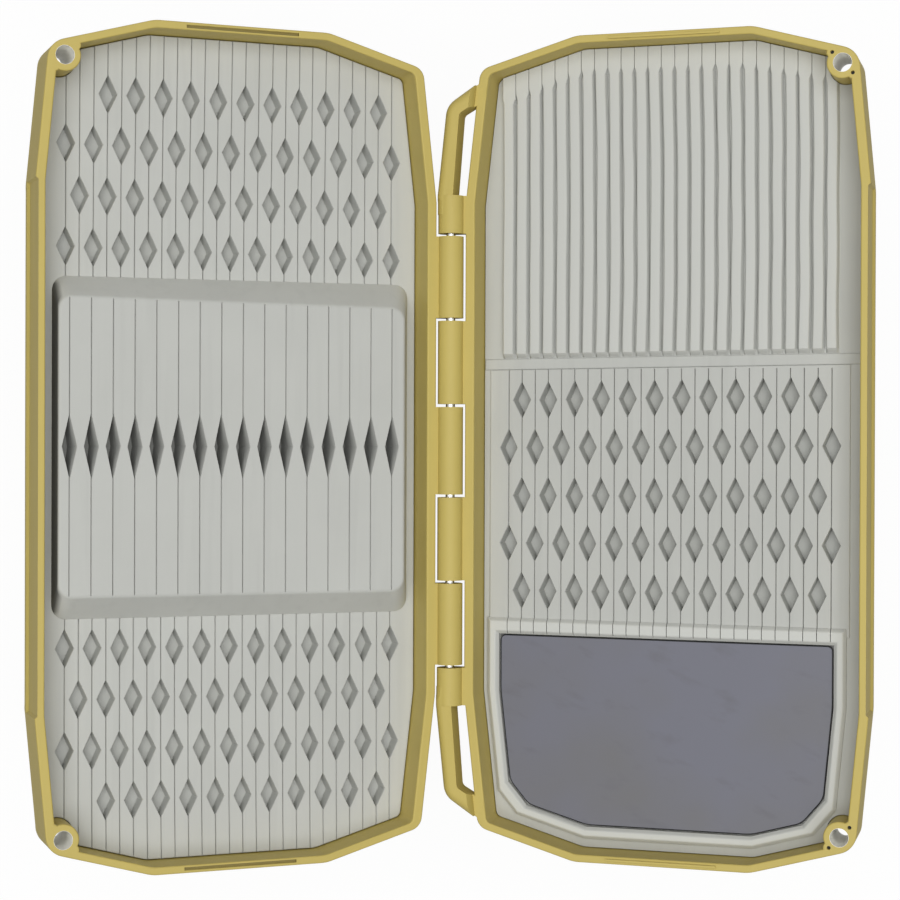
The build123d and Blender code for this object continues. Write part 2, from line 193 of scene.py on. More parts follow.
# effects that several finishes share
def makeCloudGroup():
    # soft patches and fine grain
    group, entry, leave = newGroup(
        "cloudAndGrain",
        [("Vector", "NodeSocketVector", (0, 0, 0)), ("Cloud Scale", "NodeSocketFloat", 60.0),
         ("Grain Scale", "NodeSocketFloat", 4000.0)],
        [("Cloud", "NodeSocketFloat"), ("Grain", "NodeSocketFloat")])
    cloud = addNode(group, "ShaderNodeTexNoise", {"Detail": 3.0, "Roughness": 0.55})
    grain = addNode(group, "ShaderNodeTexNoise", {"Detail": 2.0, "Roughness": 0.6})
    for noise, scale, label in ((cloud, "Cloud Scale", "Cloud"), (grain, "Grain Scale", "Grain")):
        group.links.new(entry.outputs["Vector"], noise.inputs["Vector"])
        group.links.new(entry.outputs[scale], noise.inputs["Scale"])
        group.links.new(noise.outputs["Fac"], leave.inputs[label])
    return group


def makeStreakGroup():
    # faint streaks drawn out along the hinge direction: marks on foam, sheet and steel, painted
    # highlight streaks on the shell
    group, entry, leave = newGroup(
        "streaks",
        [("Vector", "NodeSocketVector", (0, 0, 0)), ("Scale", "NodeSocketFloat", 400.0),
         ("Stretch", "NodeSocketFloat", 0.06), ("Cut", "NodeSocketFloat", 0.5)],
        [("Streak", "NodeSocketFloat")])
    combine = addNode(group, "ShaderNodeCombineXYZ", {"X": 1.0, "Z": 1.0})
    squeeze = addNode(group, "ShaderNodeVectorMath", operation="MULTIPLY")
    noise = addNode(group, "ShaderNodeTexNoise", {"Detail": 3.0, "Roughness": 0.5})
    above = addNode(group, "ShaderNodeMath", operation="SUBTRACT", use_clamp=True)
    lift = addNode(group, "ShaderNodeMath", {1: 3.0}, operation="MULTIPLY", use_clamp=True)
    group.links.new(entry.outputs["Stretch"], combine.inputs["Y"])
    group.links.new(entry.outputs["Vector"], squeeze.inputs[0])
    group.links.new(combine.outputs[0], squeeze.inputs[1])
    group.links.new(squeeze.outputs[0], noise.inputs["Vector"])
    group.links.new(entry.outputs["Scale"], noise.inputs["Scale"])
    group.links.new(noise.outputs["Fac"], above.inputs[0])
    group.links.new(entry.outputs["Cut"], above.inputs[1])
    group.links.new(above.outputs[0], lift.inputs[0])
    group.links.new(lift.outputs[0], leave.inputs["Streak"])
    return group


def makeBoreGroup(place):
    # finds the walls of the lanyard eyelets, the same way in both halves, where painted light
    # stands in for the backdrop seen through them
    group, entry, leave = newGroup("eyeletBore", [("Vector", "NodeSocketVector", (0, 0, 0))],
                                   [("Bore", "NodeSocketFloat")])
    flat = addNode(group, "ShaderNodeVectorMath", {1: (1, 1, 0)}, operation="MULTIPLY")
    away = addNode(group, "ShaderNodeVectorMath", operation="DISTANCE")
    away.inputs[1].default_value = (place["u"] * millimetre, place["v"] * millimetre, 0)
    inside = addNode(group, "ShaderNodeMath", {1: place["radius"] * millimetre},
                     operation="LESS_THAN")
    group.links.new(ownFrame(group, entry), flat.inputs[0])
    group.links.new(flat.outputs[0], away.inputs[0])
    group.links.new(away.outputs["Value"], inside.inputs[0])
    group.links.new(inside.outputs[0], leave.inputs["Bore"])
    return group


def makeGrooveGroup(groove):
    # finds the seal groove of the lid; the base has nothing cut there
    group, entry, leave = newGroup("sealGroove", [("Vector", "NodeSocketVector", (0, 0, 0))],
                                   [("Groove", "NodeSocketFloat")])
    along = addNode(group, "ShaderNodeMapping", vector_type="TEXTURE")
    along.inputs["Location"].default_value = Vector(groove["middle"]) * millimetre
    along.inputs["Rotation"].default_value = (0, 0, math.atan(groove["slope"]))
    size = addNode(group, "ShaderNodeVectorMath", operation="ABSOLUTE")
    axes = addNode(group, "ShaderNodeSeparateXYZ")
    group.links.new(ownFrame(group, entry), along.inputs["Vector"])
    group.links.new(along.outputs["Vector"], size.inputs[0])
    group.links.new(size.outputs[0], axes.inputs[0])
    masks = []
    for axis, reach in zip("XYZ", groove["reach"]):
        near = addNode(group, "ShaderNodeMath", {1: reach * millimetre}, operation="LESS_THAN")
        group.links.new(axes.outputs[axis], near.inputs[0])
        masks.append(near.outputs[0])
    group.links.new(multiplied(group, masks), leave.inputs["Groove"])
    return group


def makeDepthGroup():
    # how far a spot lies below a level of its own half, past one u and within one reach of v; it
    # places painted shade and painted highlight on the foam
    group, entry, leave = newGroup(
        "depthShade",
        [("Vector", "NodeSocketVector", (0, 0, 0)), ("Level", "NodeSocketFloat", -0.008),
         ("Fade", "NodeSocketFloat", 0.002), ("From U", "NodeSocketFloat", 0.0),
         ("Reach V", "NodeSocketFloat", 1.0), ("Soft", "NodeSocketFloat", 0.0001)],
        [("Depth", "NodeSocketFloat")])
    axes = addNode(group, "ShaderNodeSeparateXYZ")
    group.links.new(ownFrame(group, entry), axes.inputs[0])
    masks = []
    for high, low, soft in (
            (entry.outputs["Level"], axes.outputs["Z"], entry.outputs["Fade"]),
            (axes.outputs["X"], entry.outputs["From U"], entry.outputs["Soft"]),
            (entry.outputs["Reach V"], axes.outputs["Y"], entry.outputs["Soft"])):
        gap = addNode(group, "ShaderNodeMath", operation="SUBTRACT")
        share = addNode(group, "ShaderNodeMath", operation="DIVIDE", use_clamp=True)
        group.links.new(high, gap.inputs[0])
        group.links.new(low, gap.inputs[1])
        group.links.new(gap.outputs[0], share.inputs[0])
        group.links.new(soft, share.inputs[1])
        masks.append(share.outputs[0])
    group.links.new(multiplied(group, masks), leave.inputs["Depth"])
    return group


cloudGroup = makeCloudGroup()
streakGroup = makeStreakGroup()
depthGroup = makeDepthGroup()
boreGroup = makeBoreGroup({"u": 85.15, "v": 81.45, "radius": 2.0})
grooveGroup = makeGrooveGroup({"middle": (47.16, 88.875, -0.45), "slope": 0.00919,
                               "reach": (12.4, 0.31, 0.3)})


# finishes
def scaled(colour, factor):
    return tuple(channel * factor for channel in colour)


def tinted(colour, tint):
    return tuple(channel * factor for channel, factor in zip(colour, tint))


def addMottle(tree, look, colour):
    # soft patches under faint streaks
    cloud = groupNode(tree, cloudGroup, look["cloud"])
    streak = groupNode(tree, streakGroup, look["streak"])
    dark, pale = scaled(colour, look["dark"]), scaled(colour, look["pale"])
    mottled = mixColours(tree, cloud.outputs["Cloud"], dark, pale)
    streaked = scaled(colour, look["streakShade"])
    return cloud, mixColours(tree, streak.outputs["Streak"], mottled, streaked)


foamLook = {
    "colour": (0.5, 0.507, 0.478), "roughness": 0.92, "specular": 0.18,
    "cloud": {"Cloud Scale": 55.0, "Grain Scale": 5200.0}, "dark": 0.94, "pale": 1.05,
    "streak": {"Scale": 420.0, "Stretch": 0.05, "Cut": 0.52}, "streakShade": 0.93,
    "bump": 0.25, "bumpHeight": 0.00006,
    "reachV": 99, "soft": 0.1,      # mm, where an inside names none of its own
}


def makeFoamFinish(name, look, tint, inside, crestHighlight=None):
    # painted shade: spots below a level are darkened as if shadowed in cuts and beside walls, and
    # painted highlight: a high top is made paler
    colour = scaled(look["colour"], tint)
    material, tree, shader = newMaterial(name, colour, look["roughness"], look["specular"])
    cloud, marked = addMottle(tree, look, colour)
    # painted highlight: above its level the colour turns paler
    if crestHighlight:
        below = groupNode(tree, depthGroup, {
            "Level": crestHighlight["level"] * millimetre, "Fade": crestHighlight["fade"] * millimetre})
        marked = mixColours(tree, below.outputs["Depth"], scaled(colour, crestHighlight["shade"]), marked)
    # painted shade: below each level the colour turns darker
    for part in inside:
        depth = groupNode(tree, depthGroup, {
            "Level": part["level"] * millimetre, "Fade": part["fade"] * millimetre,
            "From U": part.get("fromU", 0) * millimetre,
            "Reach V": part.get("reachV", look["reachV"]) * millimetre,
            "Soft": part.get("soft", look["soft"]) * millimetre})
        marked = mixColours(tree, depth.outputs["Depth"], marked, scaled(colour, part["shade"]))
    tree.links.new(marked, shader.inputs["Base Color"])
    addBump(tree, shader, cloud.outputs["Grain"], look)
    return material


shellLook = {
    "colour": (0.52, 0.415, 0.115), "paintedBoreLight": (0.93, 0.92, 0.86), "grooveShade": 0.42,
    "roughness": 0.5, "smoothest": 0.44, "roughest": 0.6, "specular": 0.3,
    "cloud": {"Cloud Scale": 45.0, "Grain Scale": 3400.0}, "dark": 0.95, "pale": 1.05,
    # paler streaks along the hinge are painted highlights, as where the barrels catch the light
    "streak": {"Scale": 240.0, "Stretch": 0.2, "Cut": 0.56}, "streakShade": 1.08,
    "bump": 0.2, "bumpHeight": 0.00005,
}


def addRoughness(tree, shader, look, value):
    rough = addNode(tree, "ShaderNodeMapRange",
                    {"To Min": look["smoothest"], "To Max": look["roughest"]})
    tree.links.new(value, rough.inputs["Value"])
    tree.links.new(rough.outputs["Result"], shader.inputs["Roughness"])


def makePlasticFinish(name, look, grooved=False):
    colour = look["colour"]
    material, tree, shader = newMaterial(name, colour, look["roughness"], look["specular"])
    cloud, streaked = addMottle(tree, look, colour)
    bore = addNode(tree, "ShaderNodeGroup", node_tree=boreGroup)
    tree.links.new(addNode(tree, "ShaderNodeTexCoord").outputs["Object"], bore.inputs["Vector"])
    # painted light: the eyelet bore walls are painted near-white, standing in for the bright
    # backdrop seen through the holes
    shown = mixColours(tree, bore.outputs["Bore"], streaked, look["paintedBoreLight"])
    if grooved:
        groove = groupNode(tree, grooveGroup, {})
        # painted shade: the seal groove of the lid is darkened as if in shadow
        dark = scaled(colour, look["grooveShade"])
        shown = mixColours(tree, groove.outputs["Groove"], shown, dark)
    tree.links.new(shown, shader.inputs["Base Color"])
    addRoughness(tree, shader, look, cloud.outputs["Grain"])
    addBump(tree, shader, cloud.outputs["Grain"], look)
    return material


sheetLook = {
    "roughness": 0.45, "smoothest": 0.36, "roughest": 0.5, "specular": 0.3,
    "cloud": {"Cloud Scale": 22.0, "Grain Scale": 6000.0},
    "plainTint": (0.97, 0.96, 0.87), "bluishTint": (1.03, 1.05, 1.13),
    "patches": {"From Min": 0.38, "From Max": 0.62},
    "streak": {"Scale": 110.0, "Stretch": 2.6, "Cut": 0.57}, "streakShade": 0.8,
    "streakTurn": (0, 0, 0.35),
    "bump": 0.08, "bumpHeight": 0.00003,
}


def makeSheetFinish(name, look, colour):
    material, tree, shader = newMaterial(name, colour, look["roughness"], look["specular"])
    cloud = groupNode(tree, cloudGroup, look["cloud"])
    streak = groupNode(tree, streakGroup, look["streak"], look["streakTurn"])
    patches = addNode(tree, "ShaderNodeMapRange", look["patches"])
    tree.links.new(cloud.outputs["Cloud"], patches.inputs["Value"])
    plain, bluish = tinted(colour, look["plainTint"]), tinted(colour, look["bluishTint"])
    mottled = mixColours(tree, patches.outputs["Result"], plain, bluish)
    streaked = scaled(colour, look["streakShade"])
    rubbed = mixColours(tree, streak.outputs["Streak"], mottled, streaked)
    tree.links.new(rubbed, shader.inputs["Base Color"])
    addRoughness(tree, shader, look, cloud.outputs["Cloud"])
    addBump(tree, shader, cloud.outputs["Grain"], look)
    return material


metalLook = {
    "specular": 0.5, "metallic": 1.0, "streakScale": 5000.0, "streakCut": 0.45,
    "streakShade": 0.8, "bump": 0.15, "bumpHeight": 0.00002,
}


def makeMetalFinish(name, look, colour, roughness, stretch):
    material, tree, shader = newMaterial(name, colour, roughness, look["specular"],
                                         look["metallic"])
    streak = groupNode(tree, streakGroup, {
        "Scale": look["streakScale"], "Stretch": stretch, "Cut": look["streakCut"]})
    streaked = scaled(colour, look["streakShade"])
    drawn = mixColours(tree, streak.outputs["Streak"], colour, streaked)
    tree.links.new(drawn, shader.inputs["Base Color"])
    addBump(tree, shader, streak.outputs["Streak"], look)
    return material


filmLook = {
    "roughness": 0.3, "specular": 0.45, "dark": 0.9, "pale": 1.1,
    "cloud": {"Cloud Scale": 150.0, "Grain Scale": 2500.0},
    "bump": 0.2, "bumpHeight": 0.00004,
}


def makeFilmFinish(name, look, colour):
    material, tree, shader = newMaterial(name, colour, look["roughness"], look["specular"])
    cloud = groupNode(tree, cloudGroup, look["cloud"])
    dark, pale = scaled(colour, look["dark"]), scaled(colour, look["pale"])
    milky = mixColours(tree, cloud.outputs["Cloud"], dark, pale)
    tree.links.new(milky, shader.inputs["Base Color"])
    addBump(tree, shader, cloud.outputs["Grain"], look)
    return material


paintedCutShade = [{"level": -8.25, "fade": 1.6, "shade": 0.93}]      # painted shade in the cuts; level and fade in mm
finishes = {
    "shell_khaki": makePlasticFinish("khakiPlastic", shellLook),
    "pin_steel": makeMetalFinish("drawnSteel", metalLook, (0.75, 0.75, 0.74), 0.28, 0.03),
    # near-black nickel: painted shade, since the magnets show only at the bottom of the locator
    # holes
    "magnet_nickel": makeMetalFinish("nickelInPaintedShade", metalLook, (0.05, 0.05, 0.047), 0.6, 1.0),
    "foam_grey": makeFoamFinish("greyFoam", foamLook, 1, paintedCutShade),
    "adhesive_clear": makeFilmFinish("clearFilm", filmLook, (0.75, 0.74, 0.7)),
    "magnet_sheet_grey": makeSheetFinish("magnetSheet", sheetLook, (0.141, 0.141, 0.16)),
}
foamFinishes = {
    # painted light: the lid sheet is the same foam painted a little lighter, with painted shade in
    # its cuts
    "lid": makeFoamFinish("lidFoam", foamLook, 1.05, paintedCutShade),
    # painted light: the block is the same foam painted a little lighter; painted shade darkens its
    # diamond pockets and its outer side in the trough by the shell wall
    "block": makeFoamFinish("blockFoam", foamLook, 1.04, [
        {"level": -2.3, "fade": 2.2, "shade": 0.5, "fromU": 11, "reachV": 8.2},
        {"level": -2.2, "fade": 1.0, "shade": 0.22, "fromU": 84.9, "reachV": 35.6, "soft": 1.1}]),
    # painted shade in the slits and pockets; painted highlight on the frame top round the magnet
    # sheet
    "base": makeFoamFinish("baseFoam", foamLook, 1,
                           [{"level": -8.75, "fade": 1.2, "shade": 0.9}],
                           {"level": -7.3, "fade": 0.25, "shade": 1.17}),
    # painted shade in the valleys and margins; painted highlight on the ridge tops
    "ridges": makeFoamFinish("ridgeFoam", foamLook, 1, paintedCutShade,
                             {"level": -7.45, "fade": 0.5, "shade": 1.12}),
}
blackRubber = makeSheetFinish("blackRubber", sheetLook, (0.018, 0.018, 0.018))
nodeFinishes = {                # nodes whose finish isn't told by the last word of their name
    "lid_shell": makePlasticFinish("groovedPlastic", shellLook, grooved=True),
    "hinge_pin": finishes["pin_steel"],
    "magnet_sheet": finishes["magnet_sheet_grey"],
    "magnet_sheet_adhesive": makeFilmFinish("darkGlue", filmLook, (0.06, 0.06, 0.055)),
}
wordFinishes = {"shell": "shell_khaki", "magnets": "magnet_nickel", "adhesive": "adhesive_clear"}
for nodeName, nodeObject in nodes.items():
    lastWord = nodeName.split("_")[-1]
    plainFinish = finishes[wordFinishes.get(lastWord, "foam_grey")]
    nodeObject.data.materials.clear()
    nodeObject.data.materials.append(nodeFinishes.get(nodeName, plainFinish))
print("finishes made")


# piece helpers
weldGap = 0.002                 # mm between corners that are taken as one
flatAngle = math.radians(0.5)   # faces that turn less than this become one
sharpAngle = 0.3                # radians; edges that turn more get rounded
levelGap = 0.02                 # mm within which an edge lies at a level
soleGap = 0.01                  # mm within which a corner lies at a piece's foot or top


def nodeCopy(name, half):
    shape = bmesh.new()
    shape.from_mesh(nodes[name].data)
    bmesh.ops.transform(shape, matrix=halfPlace(half).inverted(), verts=shape.verts)
    bmesh.ops.remove_doubles(shape, verts=shape.verts, dist=weldGap)
    bmesh.ops.recalc_face_normals(shape, faces=shape.faces)
    bmesh.ops.dissolve_limit(shape, angle_limit=flatAngle, verts=shape.verts, edges=shape.edges)
    return shape


def asMesh(name, shape):
    mesh = bpy.data.meshes.new(name)
    shape.to_mesh(mesh)
    shape.free()
    return mesh


def asObject(name, shape):
    mesh = asMesh(name, shape)
    made = bpy.data.objects.new(name, mesh)
    bpy.context.scene.collection.objects.link(made)
    return made


def carve(shape, tool, how="DIFFERENCE"):
    body, cutter = asObject("carveBody", shape), asObject("carveTool", tool)
    step = body.modifiers.new("carve", "BOOLEAN")
    step.operation = how
    step.solver = "MANIFOLD"
    step.object = cutter
    bpy.context.view_layer.update()
    carved = body.evaluated_get(bpy.context.evaluated_depsgraph_get())
    mesh = bpy.data.meshes.new_from_object(carved)
    result = bmesh.new()
    result.from_mesh(mesh)
    bpy.data.meshes.remove(mesh)
    for used in (body, cutter):
        data = used.data
        bpy.data.objects.remove(used)
        bpy.data.meshes.remove(data)
    return result


def stamp(shape, mesh, place):
    before = len(shape.verts)
    shape.from_mesh(mesh)
    shape.verts.ensure_lookup_table()
    bmesh.ops.transform(shape, matrix=place, verts=shape.verts[before:])


def finishPiece(name, shape, half, nodeName, slot, finish=None):
    bmesh.ops.transform(shape, matrix=halfPlace(half), verts=shape.verts)
    bmesh.ops.remove_doubles(shape, verts=shape.verts, dist=weldGap * millimetre)
    bmesh.ops.recalc_face_normals(shape, faces=shape.faces)
    piece = asObject(name, shape)
    piece.data.materials.append(finish or finishes[slot])
    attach(piece, half)
    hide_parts(nodeName)
    print(name, len(piece.data.polygons), "faces")
    return piece


def edgesAt(shape, level):
    # sharp edges that lie at one level
    return [edge for edge in shape.edges
            if all(abs(vert.co.z - level) < levelGap for vert in edge.verts)
            and len(edge.link_faces) == 2 and edge.calc_face_angle() > sharpAngle]


def roundEdges(shape, edges, width, segments=2):
    bmesh.ops.bevel(shape, geom=edges, offset=width, offset_type="OFFSET", segments=segments,
                    profile=0.5, affect="EDGES", clamp_overlap=False, material=-1)


def pushFace(shape, face, first):
    # past the first push, the old face would be left inside the cutter
    pushed = bmesh.ops.extrude_face_region(shape, geom=[face])["geom"]
    if not first:
        bmesh.ops.delete(shape, geom=[face], context="FACES_ONLY")
    verts = [item for item in pushed if isinstance(item, bmesh.types.BMVert)]
    faces = [item for item in pushed if isinstance(item, bmesh.types.BMFace)]
    return faces[0], verts


def pocketMesh(pocket):
    # a diamond cutter, from its floor up to a flared lip
    shape = bmesh.new()
    made = bmesh.ops.create_circle(shape, cap_ends=True, segments=4, radius=1)
    level, wide, long = pocket["rings"][0]
    bmesh.ops.scale(shape, vec=(wide, long, 1), verts=made["verts"])
    bmesh.ops.translate(shape, vec=(0, 0, level), verts=made["verts"])
    face = shape.faces[:][0]
    for step, (nextLevel, nextWide, nextLong) in enumerate(pocket["rings"][1:]):
        face, verts = pushFace(shape, face, step == 0)
        bmesh.ops.translate(shape, vec=(0, 0, nextLevel - level), verts=verts)
        bmesh.ops.scale(shape, vec=(nextWide / wide, nextLong / long, 1), verts=verts)
        level, wide, long = nextLevel, nextWide, nextLong
    bmesh.ops.recalc_face_normals(shape, faces=shape.faces)
    return asMesh("pocket", shape)


def slitMesh(slit):
    # a thin cutter with a flared mouth, drawn along v in steps
    shape = bmesh.new()
    corners = [(-across, level) for level, across in slit["section"]]
    corners += [(across, level) for level, across in reversed(slit["section"])]
    face = shape.faces.new([shape.verts.new((u, slit["from"], w)) for u, w in corners])
    run = (slit["to"] - slit["from"]) / slit["steps"]
    for step in range(slit["steps"]):
        face, verts = pushFace(shape, face, step == 0)
        bmesh.ops.translate(shape, vec=(0, run, 0), verts=verts)
    bmesh.ops.recalc_face_normals(shape, faces=shape.faces)
    return asMesh("slit", shape)


def swelling(bow, u, v):
    # soft foam swells, so its middle columns stand a little further from the hinge
    across = (u - bow["centreU"]) / bow["halfU"]
    along = abs(v - bow["centreV"]) / bow["halfV"]
    return bow["size"] * max(0, 1 - across ** 2) * max(0, 1 - along ** bow["power"])


def columnPlace(pattern, index):
    return pattern["centre"] + (index - (pattern["columns"] - 1) / 2) * pattern["pitch"]


def shareAcross(pattern, u):
    return (u - pattern["nearU"]) / (pattern["farU"] - pattern["nearU"])


cutJitter = {"v": 0.05, "turn": 0.8, "size": 0.015, "slitTurn": 0.03}      # mm, degrees and shares


def jitter(hand, kind):
    return hand.uniform(-cutJitter[kind], cutJitter[kind])


def pocketTool(pattern, pocket, level, hand):
    shape = bmesh.new()
    mesh = pocketMesh(pocket)
    for nearHinge, farSide, columns in pattern["rows"]:
        for index in columns:
            u = columnPlace(pattern, index)
            v = nearHinge + (farSide - nearHinge) * shareAcross(pattern, u)
            u += swelling(pattern["bow"], u, v)
            place = Matrix.Translation((u, v + jitter(hand, "v"), level))
            place = place @ Matrix.Rotation(math.radians(jitter(hand, "turn")), 4, "Z")
            size = 1 + jitter(hand, "size")
            stamp(shape, mesh, place @ Matrix.Diagonal((size, 2 - size, 1, 1)))
    bpy.data.meshes.remove(mesh)
    return shape


def slitTool(pattern, slit, level, hand):
    shape = bmesh.new()
    mesh = slitMesh(slit)
    for index in range(pattern["columns"]):
        turn = Matrix.Rotation(math.radians(jitter(hand, "slitTurn")), 4, "Z")
        place = Matrix.Translation((columnPlace(pattern, index), 0, level))
        stamp(shape, mesh, place @ turn)
    for vert in shape.verts:
        vert.co.x += swelling(pattern["bow"], vert.co.x, vert.co.y)
        if vert.co.y > 0:
            vert.co.y += pattern.get("lean", 0) * (vert.co.x - pattern["centre"])
    bpy.data.meshes.remove(mesh)
    return shape


stripLean = {"slope": 0.0112, "centre": 47, "fromV": 12, "toV": 24}


def leanedCopy(name):
    # the strip across the base and the edges beside it run slightly askew
    shape = nodeCopy(name, "base")
    for vert in shape.verts:
        if stripLean["fromV"] < vert.co.y < stripLean["toV"]:
            vert.co.y += stripLean["slope"] * (vert.co.x - stripLean["centre"])
    return shape


# foam sheet of the lid
lidBow = {"size": 0.6, "centreU": 47.3, "halfU": 38.0, "centreV": -8, "halfV": 95, "power": 4}
lidFoam = {
    "level": -8.0, "edgeRounding": 0.25, "seed": 11, "bow": lidBow,
    "centre": 47.3, "pitch": 3.015, "columns": 25, "nearU": 11.1, "farU": 83.5,
    "rows": [
        (74.14, 75.04, range(1, 22, 2)), (63.16, 64.28, range(0, 25, 2)),
        (52.36, 53.39, range(1, 24, 2)), (41.49, 42.53, range(0, 25, 2)),
        (-43.43, -42.41, range(0, 25, 2)), (-53.84, -53.24, range(1, 24, 2)),
        (-64.90, -64.09, range(0, 25, 2)), (-75.48, -74.98, range(1, 22, 2)),
    ],
}
foamPocket = {"rings": [(-3.5, 1.64, 3.55), (-0.2, 1.93, 4.08), (0.0, 2.05, 4.28),
                        (0.4, 2.4, 4.7)]}
foamSlit = {"from": -95, "to": 95, "steps": 10,
            "section": [(-3.2, 0.02), (-0.2, 0.045), (0.0, 0.17), (0.4, 0.5)]}


def makeLidFoam(setup):
    hand = random.Random(setup["seed"])
    shape = nodeCopy("lid_foam_sheet", "lid")
    roundEdges(shape, edgesAt(shape, setup["level"]), setup["edgeRounding"])
    shape = carve(shape, pocketTool(setup, foamPocket, setup["level"], hand))
    shape = carve(shape, slitTool(setup, foamSlit, setup["level"], hand))
    piece = finishPiece("lidFoam", shape, "lid", "lid_foam_sheet", "foam_grey",
                        foamFinishes["lid"])


makeLidFoam(lidFoam)

# raised foam block of the lid
foamBlock = {
    "top": -2.0, "edgeRounding": 0.55, "edgeSteps": 4, "seed": 5, "bow": lidBow,
    "lean": 0.0135, "foot": -7.85,
    "centre": 48.2, "pitch": 4.727, "columns": 16, "nearU": 12.7, "farU": 83.7,
    "rows": [(0.33, 0.33, range(16))],
}
blockPocket = {"rings": [(-5.5, 0.5, 3.6), (-0.2, 1.52, 6.85), (0.0, 1.62, 7.1), (0.4, 1.9, 7.6)]}
blockSlit = {"from": -31.0, "to": 31.0, "steps": 4,
             "section": [(-4.0, 0.02), (-0.2, 0.045), (0.0, 0.17), (0.4, 0.5)]}


def makeFoamBlock(setup):
    hand = random.Random(setup["seed"])
    shape = nodeCopy("raised_foam_block", "lid")
    roundEdges(shape, edgesAt(shape, setup["top"]), setup["edgeRounding"], setup["edgeSteps"])
    for vert in shape.verts:
        lean = setup["lean"] * (vert.co.x - setup["centre"])
        if vert.co.y > 0:
            vert.co.y += lean * (vert.co.z - setup["foot"]) / (setup["top"] - setup["foot"])
    shape = carve(shape, pocketTool(setup, blockPocket, setup["top"], hand))
    shape = carve(shape, slitTool(setup, blockSlit, setup["top"], hand))
    piece = finishPiece("foamBlock", shape, "lid", "raised_foam_block", "foam_grey",
                        foamFinishes["block"])


makeFoamBlock(foamBlock)

# slit panel of the base, with the frame round the magnet sheet
basePanel = {
    "level": -8.1, "frameTop": -7.2, "frameSlope": 0.78, "frameRounding": 0.16,
    "edgeRounding": 0.2, "seed": 23,
    "bow": {"size": 0.14, "centreU": 46.8, "halfU": 37.5, "centreV": -20, "halfV": 60, "power": 4},
    "centre": 46.8, "pitch": 2.965, "columns": 25, "nearU": 11.2, "farU": 82.4,
    "rows": [
        (10.74, 11.73, range(1, 24, 2)), (0.21, 0.85, range(0, 25, 2)),
        (-10.47, -9.91, range(1, 24, 2)), (-20.97, -20.48, range(0, 25, 2)),
        (-31.48, -31.18, range(1, 24, 2)),
    ],
}
baseSlit = {"from": -41.0, "to": 17.6, "steps": 3,
            "section": [(-3.2, 0.02), (-0.2, 0.045), (0.0, 0.16), (0.3, 0.07), (1.2, 0.09)]}


def makeBasePanel(setup):
    hand = random.Random(setup["seed"])
    shape = leanedCopy("slit_foam_panel")
    roundEdges(shape, edgesAt(shape, setup["frameTop"]), setup["frameSlope"], 1)
    roundEdges(shape, edgesAt(shape, setup["frameTop"]), setup["frameRounding"])
    roundEdges(shape, edgesAt(shape, setup["level"]), setup["edgeRounding"])
    shape = carve(shape, pocketTool(setup, foamPocket, setup["level"], hand))
    shape = carve(shape, slitTool(setup, baseSlit, setup["level"], hand))
    piece = finishPiece("basePanel", shape, "base", "slit_foam_panel", "foam_grey",
                        foamFinishes["base"])


makeBasePanel(basePanel)

# ridged panel of the base
ridges = {
    "seed": 31, "columns": 25, "centre": 46.8, "pitch": 2.965, "nearU": 11.2, "farU": 82.4,
    "height": 1.3, "margin": -8.6,
    "footNear": 20.99, "footFar": 21.81, "endSlope": 1.0, "endPinch": -0.2,
    "section": [(-1.36, 0.0), (-1.27, 0.45), (-1.16, 0.88), (-1.0, 1.0), (0.0, 1.03),
                (0.84, 1.0), (0.98, 0.88), (1.19, 0.42), (1.42, 0.0)],
    "pinched": [-1.46, -1.46, -1.44, -1.36, 0.0, 1.36, 1.44, 1.46, 1.46],
    "tips": [(-1.3, 0.0, 0.0), (-0.7, 0.45, 0.3), (0.0, 1.0, 0.62), (3.0, 1.0, 0.7),
             (14.0, 1.0, 0.7)],              # run past the tip, pinch, filling of the valleys
    "edge": {"nearV": 77.6, "fromU": 11.4, "rise": 0.352, "levelFromU": 28, "levelV": 83.45,
             "levelToU": 63, "fall": 0.2},
    "wave": 0.09, "waveStarts": (0, 6.28), "wavePaces": (0.12, 0.3), "waveSizes": (0.4, 1.0),
    "bow": {"size": 0.5, "centreU": 46.8, "halfU": 37.5, "centreV": 45, "halfV": 36, "power": 2},
    "rows": 22, "gridLowV": 15.0, "gridNearU": 2.0, "gridFarU": 92.0, "cutHeight": 8.0,
    "skirt": 1.0,
}


def ridgeTip(edge, u):
    # where the valleys end under the upper edge of the foam
    if u < edge["levelFromU"]:
        return edge["nearV"] + (u - edge["fromU"]) * edge["rise"]
    return edge["levelV"] - max(0, u - edge["levelToU"]) * edge["fall"]


def ridgeLines(setup):
    # for each line of the grid: its ridge, u, height, pinched u, and whether it fills at the tip
    pitch, last = setup["pitch"], setup["columns"] - 1
    lines = [(0, setup["gridNearU"], 0, None, False),
             (0, columnPlace(setup, 0) - pitch / 2, 0, None, False)]
    for number in range(setup["columns"]):
        centre = columnPlace(setup, number)
        for (offset, rise), pinched in zip(setup["section"], setup["pinched"]):
            lines.append((number, centre + offset, rise, centre + pinched, True))
        lines.append((number, centre + pitch / 2, 0, None, True))
    return lines + [(last, setup["gridFarU"], 0, None, False)]


def ridgeRow(setup, row, foot, tip):
    # place along v, share of the full height, pinch, and filling of the valleys
    tips = setup["tips"]
    firstTip = setup["rows"] - len(tips)
    if row == 0:
        return setup["gridLowV"], 0, 0, 0
    if row == 1:
        return foot - setup["endSlope"], 0, setup["endPinch"], 0
    if row >= firstTip:
        past, pinch, filled = tips[row - firstTip]
        return tip + past, 1, pinch, filled
    return foot + (tip + tips[0][0] - foot) * (row - 2) / (firstTip - 2), 1, 0, 0


